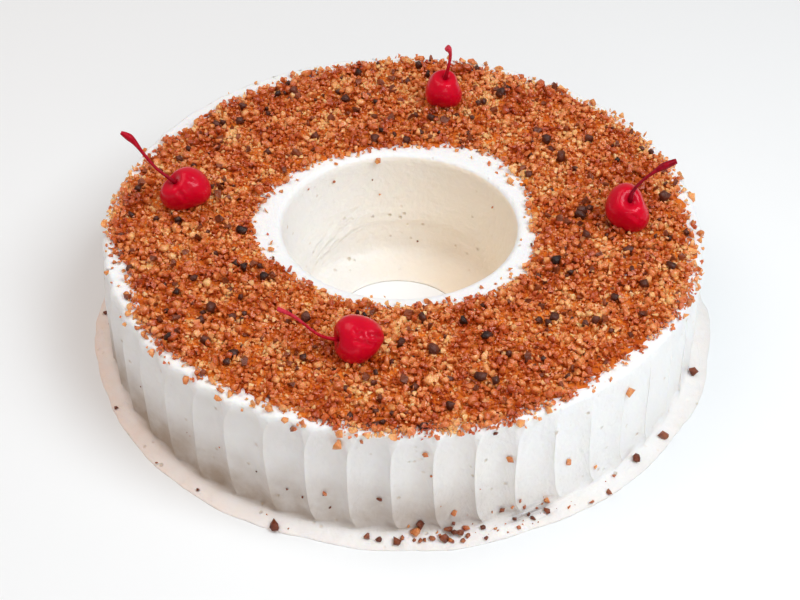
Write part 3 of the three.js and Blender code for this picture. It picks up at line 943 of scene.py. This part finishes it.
# painted light: crumbs within a few millimetres of the bed's edges are made lighter, as if lit through from
# the white cream below
for kindName, kind in kinds.items():
    scatterPiece(kindName, kind, ground.copy(), 0.4 * (1 - smoothStep(inward, 0, 6)))
pointAttribute(coreMesh, "tint", 0.5 - 0.2 * clumped)
coreMesh.materials.append(pralineLooks["core"])
finishPiece(core, "crumble", "praline_crumble")
print("crumble done")

# Crumbs that fell on the cream: on the rims, the wall and the foot
creamPoints = np.zeros(len(icedRing.data.vertices) * 3, np.float32)
icedRing.data.vertices.foreach_get("co", creamPoints)
creamPoints = creamPoints.reshape(-1, 3)
creamHeight = creamPoints[:, 2]
creamAngle = np.arctan2(creamPoints[:, 1], creamPoints[:, 0])
creamRadius = np.hypot(creamPoints[:, 0], creamPoints[:, 1])
pastOuter = (creamRadius - crumbleReach(bed, creamAngle)) / mm
pastInner = (outline(bed["inner"], bed["innerWaves"], creamAngle) - creamRadius) / mm


# Fewer crumbs the farther past the outline, from just inside it
def fallOff(past, reach, inside):
    return np.exp(-np.maximum(past, 0) / reach) * (past > -inside)


onTop = creamHeight > cakeTop - 3.5 * mm
upper = smoothStep(creamHeight, cakeTop - 2.2 * mm, cakeTop - 0.8 * mm)
onWall = (creamRadius > 126 * mm) & (creamHeight > 5 * mm)
lowWall = onWall * (creamHeight < 24 * mm) * smoothStep(-creamAngle, 1.0, 1.5)
offTable = smoothStep(creamHeight, 0.9 * mm, 1.3 * mm)
onFoot = (creamRadius > 133 * mm) * offTable
heaped = (creamRadius > bed["edge"]) * upper * smoothStep(raggedness(creamPoints) - pastOuter, -0.8, 2.2)
loose = fallOff(pastOuter, 2.0, 1.5) + fallOff(pastInner, 2.0, 1.5)
fromLeft = turnFrom(creamAngle, math.radians(222))
strewn = fallOff(pastOuter, 4.0, 1.0) * (0.25 + 0.75 * smoothStep(-fromLeft, -0.9, -0.6))
spilled = bell(turnFrom(creamAngle, math.radians(-78)), 0.3)
dusty = bell(creamAngle, 0.16, math.radians(-70)) * offTable
dusty = dusty * (creamHeight < 8 * mm) * (creamRadius > 129 * mm)
strayKinds = {
    "crumbsStray": dict(
        corners=8, spacing=0.95, sizes=(1.5, 2.8), lift=0.3, spread=0.2,
        cover=onTop * np.maximum(heaped, 0.04 * loose), look="amber", seed=6,
    ),
    "crumbsRim": dict(
        corners=12, spacing=1.8, sizes=(2.2, 4.6), lift=0.4, spread=0.15,
        cover=onTop * heaped, look="amber", seed=10,
    ),
    "crumbsStrayGold": dict(
        corners=11, spacing=2.5, sizes=(1.5, 5.2), lift=0.25, spread=0.12,
        cover=onTop * 0.55 * loose + onWall * 0.001, look="gold", seed=7,
    ),
    "crumbsStrewn": dict(
        corners=13, spacing=2.4, sizes=(1.4, 4.6), lift=0.25, spread=0.1,
        cover=onTop * upper * 0.7 * strewn, look="gold", seed=14,
    ),
    "crumbsDust": dict(
        corners=7, spacing=1.1, sizes=(0.5, 1.7), lift=0.15, spread=0.1,
        cover=0.05 * dusty + 0.003 * lowWall + onFoot * 0.07 * spilled + 0.002 * onFoot,
        look="toffee", seed=9,
    ),
}
# painted light: the crumbs on the cream are made lighter, as if lit through from the cream below
for kindName, kind in strayKinds.items():
    strays = icedRing.data.copy()
    strays.materials.clear()
    scatterPiece(kindName, kind, strays, np.full(len(creamPoints), 0.35))

# Single crumbs where they are plain to see: (bearing, height, size) on the wall and in the hole,
# (bearing, radius, size) on the foot, in degrees and millimetres
placedCrumbs = {
    "toffee": {
        "wall": (
            (-97, 52, 2.2), (-72, 6.1, 2.8), (-69, 11.1, 1.9), (-109, 52.5, 2.8), (-81, 4.8, 1.9),
            (-68, 6.3, 1.9),
        ),
        "foot": (
            (-49, 133.4, 1.8), (-35, 134.6, 4.4), (-52, 138, 2.8), (-56, 137.6, 2.6), (-96, 135, 3.6),
            (-90, 134.6, 2.3), (-88, 135.7, 1.9), (-87, 135.8, 2.3), (-86.2, 135.9, 1.9), (-85, 135.6, 3.3),
            (-82, 132.8, 4.2), (-80, 134.6, 3.8), (-80, 137.7, 2.8), (-70, 136.6, 2.3), (-83.6, 134.2, 2.2),
            (-79, 135.8, 2.4), (-81.5, 137.2, 2), (-138, 138.4, 1.4),
        ),
        "hole": ((146, 51.7, 1.4), (129, 48.3, 1.6)),
    },
    "gold": {
        "wall": (
            (-101, 49.4, 4.6), (-46, 44.5, 4.0), (-86, 45.5, 2.6), (-85, 34.3, 1.4), (-71, 35.9, 2.8),
            (-53, 11.7, 2.0), (-81, 10.3, 2.8), (-70, 7.7, 1.9), (-63, 4.8, 3.3), (-89, 4.8, 1.4),
        ),
        "foot": (
            (-84, 132.6, 1.4), (-82, 136.5, 2.3), (-79, 132.8, 3.3), (-74, 135.3, 1.4), (-88, 132.4, 4.2),
            (-60, 136, 1.8),
        ),
        "hole": ((103, 35.6, 1.2), (32, 44.3, 1.3)),
    },
    "brown": {
        "wall": (
            (-74, 52.1, 2.2), (-87, 5.2, 4.2), (-94, 19.1, 2.2), (-104, 18.1, 1.4), (-111, 16.1, 1.2),
            (-103, 11.1, 1.2), (-108, 13.9, 1.2), (-117, 20.2, 1.0), (-149, 20.4, 0.9),
        ),
        "foot": (
            (-43, 133.6, 4.8), (-17, 133.6, 4.2), (-91, 136, 3.6), (-94, 136, 2.6), (-112, 137.6, 4.6),
            (-128, 137, 1.2), (180, 135.6, 2.6), (-83, 136, 4.6), (-81, 134.4, 4.2), (-70, 132.6, 1.9),
            (-64, 133.5, 3.3), (-67, 134.8, 2.3), (-67.5, 132.6, 2.3), (-76, 133.9, 2.8), (-76, 137.9, 1.9),
            (-154, 137.4, 1.9),
        ),
        "hole": ((107, 43.8, 0.9), (81, 9.5, 1.0)),
    },
}
placedForm = {
    "corners": 13,
    "width": 1.35,  # the hull falls short of its points
    "flat": (1, 0.85, 0.7),
    "tilt": 0.6,
    "lift": 0.22,
    "lowest": 0.1 * mm,  # none reaches through the thin foot
}
creamSurface = BVHTree.FromPolygons(
    [v.co for v in icedRing.data.vertices], [f.vertices[:] for f in icedRing.data.polygons]
)


# The cream's point and normal at a place
def creamAt(side, bearing, second):
    out = Vector((math.cos(math.radians(bearing)), math.sin(math.radians(bearing)), 0))
    lines = {
        "wall": (out * 0.2 + Vector((0, 0, second * mm)), -out),
        "foot": (out * second * mm + Vector((0, 0, 0.02)), Vector((0, 0, -1))),
        "hole": (Vector((0, 0, second * mm)), out),
    }
    return creamSurface.ray_cast(*lines[side])[:2]


def placeCrumbs(look, places, seed):
    s = placedForm
    draw = np.random.default_rng(seed)
    whole = bmesh.new()
    for side, spots in places.items():
        for bearing, second, size in spots:
            hit, normal = creamAt(side, bearing, second)
            form = crumbForm(draw, s["corners"], True)
            across = s["width"] * size * mm
            spin = Matrix.Rotation(draw.uniform(0, 6.28), 4, "Z")
            tilt = Matrix.Rotation(draw.uniform(-s["tilt"], s["tilt"]), 4, "X")
            lie = normal.to_track_quat("Z", "Y").to_matrix().to_4x4()
            flat = Matrix.Diagonal((*(across * share for share in s["flat"]), 1))
            form.transform(Matrix.Translation(hit + normal * across * s["lift"]) @ lie @ (spin @ tilt) @ flat)
            for corner in form.verts:
                corner.co.z = max(corner.co.z, s["lowest"])
            made = meshOf(form, "crumb")
            whole.from_mesh(made)
            bpy.data.meshes.remove(made)
    name = "crumbsPlaced" + look.capitalize()
    mesh = meshOf(whole, name)
    pointAttribute(mesh, "tint", np.full(len(mesh.vertices), 0.5))
    mesh.materials.append(pralineLooks[look])
    finishPiece(newPiece(name, mesh), "crumble")


for seed, (look, places) in enumerate(placedCrumbs.items(), 60):
    placeCrumbs(look, places, seed)
print("stray crumbs done")

# The cherries
cherryLook = {
    "flesh": (216, 0, 37), "deep": (146, 0, 20), "shine": (255, 150, 170),
    "stemDark": (104, 2, 20), "stem": (176, 6, 30), "stemLight": (226, 70, 88),
}
fruitForm = {  # depths and widths are shares of the radius
    "steps": 72,
    "sides": 108,
    "lumps": 6,
    "lump": 0.012,
    "crease": 0.085,
    "wobble": 0.05,
    "dimple": 0.26,
    "lip": 0.03,
    "stemShares": (0.45, 0.78),  # where the stem starts inside and where it leaves the dimple
    "stemRadii": (1.1, 1.05),
}
seenRight, seenUp, seenNear = (1.0, 0.0, 0.0), (0.0, 0.667, 0.745), (0.0, -0.745, 0.667)


def cherryMaterial(look):
    material, tree, shader, place = newMaterial("cherryGlaze")
    blotch = noise(place, 140.0, 3.0)
    # the deep colour: at random in blotches, and as painted shade in the creases and the dimple
    shade = clampTo((blotch - 0.38) * 0.9 + attributeField(tree, "fold") * 0.7)
    setShader(shader, {
        "Base Color": colourRamp(shade, fromTo(look["flesh"], look["deep"])),
        "Roughness": 0.3,
        "Subsurface Weight": 0.25,
        "Subsurface Radius": (1.0, 0.15, 0.12),
        "Subsurface Scale": 3.0 * mm,
        "Specular IOR Level": 0.3,
        "Specular Tint": rgba(look["shine"]),
        "Coat Weight": 0.2,
        "Coat Roughness": 0.05,
    })
    addBump(shader, noise(place, 230.0, 2.0), 0.4 * mm, 0.6)
    return material


def stemMaterial(look):
    material, tree, shader, place = newMaterial("cherryStem")
    streak = noise(place, 500.0, 3.0)
    tone = clampTo(attributeField(tree, "tone") + (streak - 0.5) * 0.7)
    stops = [(0.0, look["stemDark"]), (0.5, look["stem"]), (1.0, look["stemLight"])]
    setShader(shader, {
        "Base Color": colourRamp(tone, stops),
        "Roughness": 0.35,
        "Specular IOR Level": 0.3,
        "Specular Tint": rgba(look["shine"]),
    })
    addBump(shader, streak, 0.4 * mm, 0.7)
    return material


fruitSkin = cherryMaterial(cherryLook)
stemBark = stemMaterial(cherryLook)


def unit(vector):
    return np.asarray(vector, float) / np.linalg.norm(vector)


# A place on the skin from its (right, up) shares
def skinPlace(place):
    near = math.sqrt(max(0.0, 1 - place[0] ** 2 - place[1] ** 2))
    return unit(place[0] * unit(seenRight) + place[1] * unit(seenUp) + near * unit(seenNear))


# Reach of the outline at a turn, a smooth curve through eight even values
def sideReach(sides, turn):
    waves = np.fft.rfft(sides) / len(sides)
    reach = np.full_like(turn, waves[0].real)
    for order, wave in enumerate(waves[1:], 1):
        share = 1 if order == len(sides) // 2 else 2
        reach += share * (wave.real * np.cos(order * turn) - wave.imag * np.sin(order * turn))
    return reach


# A fruit about its centre, dimpled where the stem leaves it, with creases and a few soft lumps; its creases
# and dimple carry painted shade
def fruitMesh(name, spec, seed):
    s = fruitForm
    draw = np.random.default_rng(seed)
    steps, sides = s["steps"], s["sides"]
    polar = np.repeat(np.linspace(0, math.pi, steps), sides)
    turn = np.tile(np.arange(sides) / sides * 2 * math.pi, steps)
    axis = unit(spec["faces"])
    aside = unit(np.cross(axis, (0.3, 1.0, 0.1)))
    beyond = np.cross(axis, aside)
    way = np.outer(np.sin(polar) * np.cos(turn), aside) + np.outer(np.sin(polar) * np.sin(turn), beyond)
    way = way + np.outer(np.cos(polar), axis)
    right, up, near = (way @ unit(seen) for seen in (seenRight, seenUp, seenNear))
    reach = 1 + (sideReach(spec["sides"], np.arctan2(up, right)) - 1) * (1 - near**2)
    for _ in range(s["lumps"]):
        lump = unit(draw.normal(size=3))
        height = draw.uniform(-s["lump"], s["lump"])
        reach += height * np.cos(way @ lump * draw.uniform(3, 6) + draw.uniform(0, 6))
    fold = np.zeros(len(way))
    for start, end, depth in spec["creases"]:
        first, last = skinPlace(start), skinPlace(end)
        share = np.clip(((way - first) @ (last - first)) / ((last - first) @ (last - first)), 0, 1)
        nearest = first + share[:, None] * (last - first)
        wobble = s["wobble"] * np.sin(share * 9 + seed)
        off = np.linalg.norm(way - nearest - np.outer(wobble, axis), axis=1)
        strength = 0.35 + 0.65 * np.sin(np.clip(share, 0.05, 0.95) * math.pi)
        valley = bell(off, s["crease"])
        fold += strength * valley * depth / 0.1
        reach -= depth * strength * (valley - 0.45 * bell(off, 0.1, 0.2))
    dimple = bell(polar, 0.34)
    reach += -s["dimple"] * dimple + s["lip"] * bell(polar, 0.2, 0.55)
    faces = []
    for step in range(steps - 1):
        for side in range(sides):
            a, b = step * sides + side, step * sides + (side + 1) % sides
            faces.append((a, a + sides, b + sides, b))
    mesh = meshFrom(name, way * reach[:, None] * spec["diameter"] / 2 * mm, faces)
    # painted shade for the creases and the dimple
    pointAttribute(mesh, "fold", np.clip(fold * 0.5 + 0.5 * dimple, 0, 1))
    form = bmesh.new()
    form.from_mesh(mesh)
    bmesh.ops.remove_doubles(form, verts=form.verts, dist=1e-6)
    bmesh.ops.recalc_face_normals(form, faces=form.faces)
    form.to_mesh(mesh)
    form.free()
    return mesh


# A stem along a smooth curve, swollen to a cut knob at its end
def stemMesh(name, route, radii):
    curve = bpy.data.curves.new(name, "CURVE")
    curve.dimensions = "3D"
    curve.bevel_depth = 1.0
    curve.bevel_resolution = 4
    curve.use_fill_caps = True
    spline = curve.splines.new("NURBS")
    spline.points.add(len(route) - 1)
    for point, place, radius in zip(spline.points, route, radii):
        point.co = (*place, 1)
        point.radius = radius
    spline.use_endpoint_u = True
    spline.order_u = 3
    spline.resolution_u = 8
    holder = newPiece(name + "Curve", curve)
    graph = bpy.context.evaluated_depsgraph_get()
    mesh = bpy.data.meshes.new_from_object(holder.evaluated_get(graph), depsgraph=graph)
    bpy.data.objects.remove(holder)
    shadeSmooth(mesh)
    return mesh


def makeCherry(node, spec, seed):
    label = "cherry" + node.split("_")[1].capitalize()
    centre = Vector((spec["at"][0] * mm, spec["at"][1] * mm, cakeTop + contactGap + spec["rise"] * mm))
    fruit = newPiece(label + "Fruit", fruitMesh(node + "Fruit", spec, seed))
    fruit.data.transform(Matrix.Translation(centre))
    fruit.data.materials.append(fruitSkin)
    finishPiece(fruit, "cherry", node)
    faces = Vector(spec["faces"]).normalized()
    inside = [faces * spec["diameter"] / 2 * share for share in fruitForm["stemShares"]]
    route = [centre + Vector(point) * mm for point in (*inside, *spec["stem"])]
    radii = [radius * mm for radius in (*fruitForm["stemRadii"], *spec["radii"])]
    stem = newPiece(label + "Stem", stemMesh(node + "Stem", route, radii))
    length = (route[-1] - route[0]).length
    share = [(v.co - route[0]).dot(route[-1] - route[0]) / length**2 for v in stem.data.vertices]
    pointAttribute(stem.data, "tone", np.interp(share, (0.2, 1.0), spec["tones"]))
    stem.data.materials.append(stemBark)
    finishPiece(stem, "cherry")


for seed, (node, spec) in enumerate(cherryPlaces.items(), 40):
    makeCherry(node, spec, seed)
print("cherries done")

# Floor, light and camera
stageLook = {
    "floor": (244, 244, 244),
    "floorHalf": 4.0,
    "world": 0.32,
    "worldColour": (1.0, 0.935, 0.905),
    "lights": {
        "keyLight": {"at": (0.62, -0.36, 1.05), "size": 0.7, "power": 10.6, "colour": (0.85, 0.945, 1.0)},
        "fillLight": {"at": (-0.55, 0.12, 1.12), "size": 0.9, "power": 5.4, "colour": (1.0, 0.94, 0.9)},
        "frontLight": {"at": (0.1, -0.96, 0.48), "size": 0.35, "power": 1.0, "colour": (1.0, 0.95, 0.92)},
    },
}
view = {
    "distance": 823.4 * mm,
    "elevation": math.radians(41.9),
    "aim": (-1.3 * mm, 12.2 * mm, 0.0),
    "focalPixels": 1800,
    "pictureWidth": 800,  # in pixels
    "sensor": 36,
}


def makeFloor(look):
    half = look["floorHalf"]
    corners = [(-half, -half, 0), (half, -half, 0), (half, half, 0), (-half, half, 0)]
    mesh = meshFrom("floor", corners, [range(4)])
    material, _, shader, _ = newMaterial("paleFloor")
    setShader(shader, {"Base Color": rgba(look["floor"]), "Roughness": 0.8, "Specular IOR Level": 0.1})
    mesh.materials.append(material)
    floor = newPiece("floor", mesh)


def aim(thing, at, target):
    thing.location = at
    thing.rotation_euler = (Vector(target) - thing.location).to_track_quat("-Z", "Y").to_euler()


def makeLight(name, spec):
    lamp = bpy.data.lights.new(name, "AREA")
    lamp.energy = spec["power"]
    lamp.size = spec["size"]
    lamp.color = spec["colour"]
    aim(newPiece(name, lamp), spec["at"], (0, 0, 0))


def makeCamera(spec):
    lens = bpy.data.cameras.new("camera")
    lens.sensor_width = spec["sensor"]
    lens.lens = spec["focalPixels"] / spec["pictureWidth"] * spec["sensor"]
    camera = newPiece("camera", lens)
    reach, elevation = spec["distance"], spec["elevation"]
    aim(camera, (0, -reach * math.cos(elevation), reach * math.sin(elevation)), spec["aim"])
    bpy.context.scene.camera = camera


def makeWorld(look):
    world = bpy.data.worlds.new("studio")
    world.use_nodes = True
    background = world.node_tree.nodes["Background"]
    background.inputs["Color"].default_value = (*look["worldColour"], 1)
    background.inputs["Strength"].default_value = look["world"]
    bpy.context.scene.world = world


makeFloor(stageLook)
for lightName, lightSpec in stageLook["lights"].items():
    makeLight(lightName, lightSpec)
makeCamera(view)
makeWorld(stageLook)
bpy.context.scene.view_settings.view_transform = "Standard"
print("stage done")
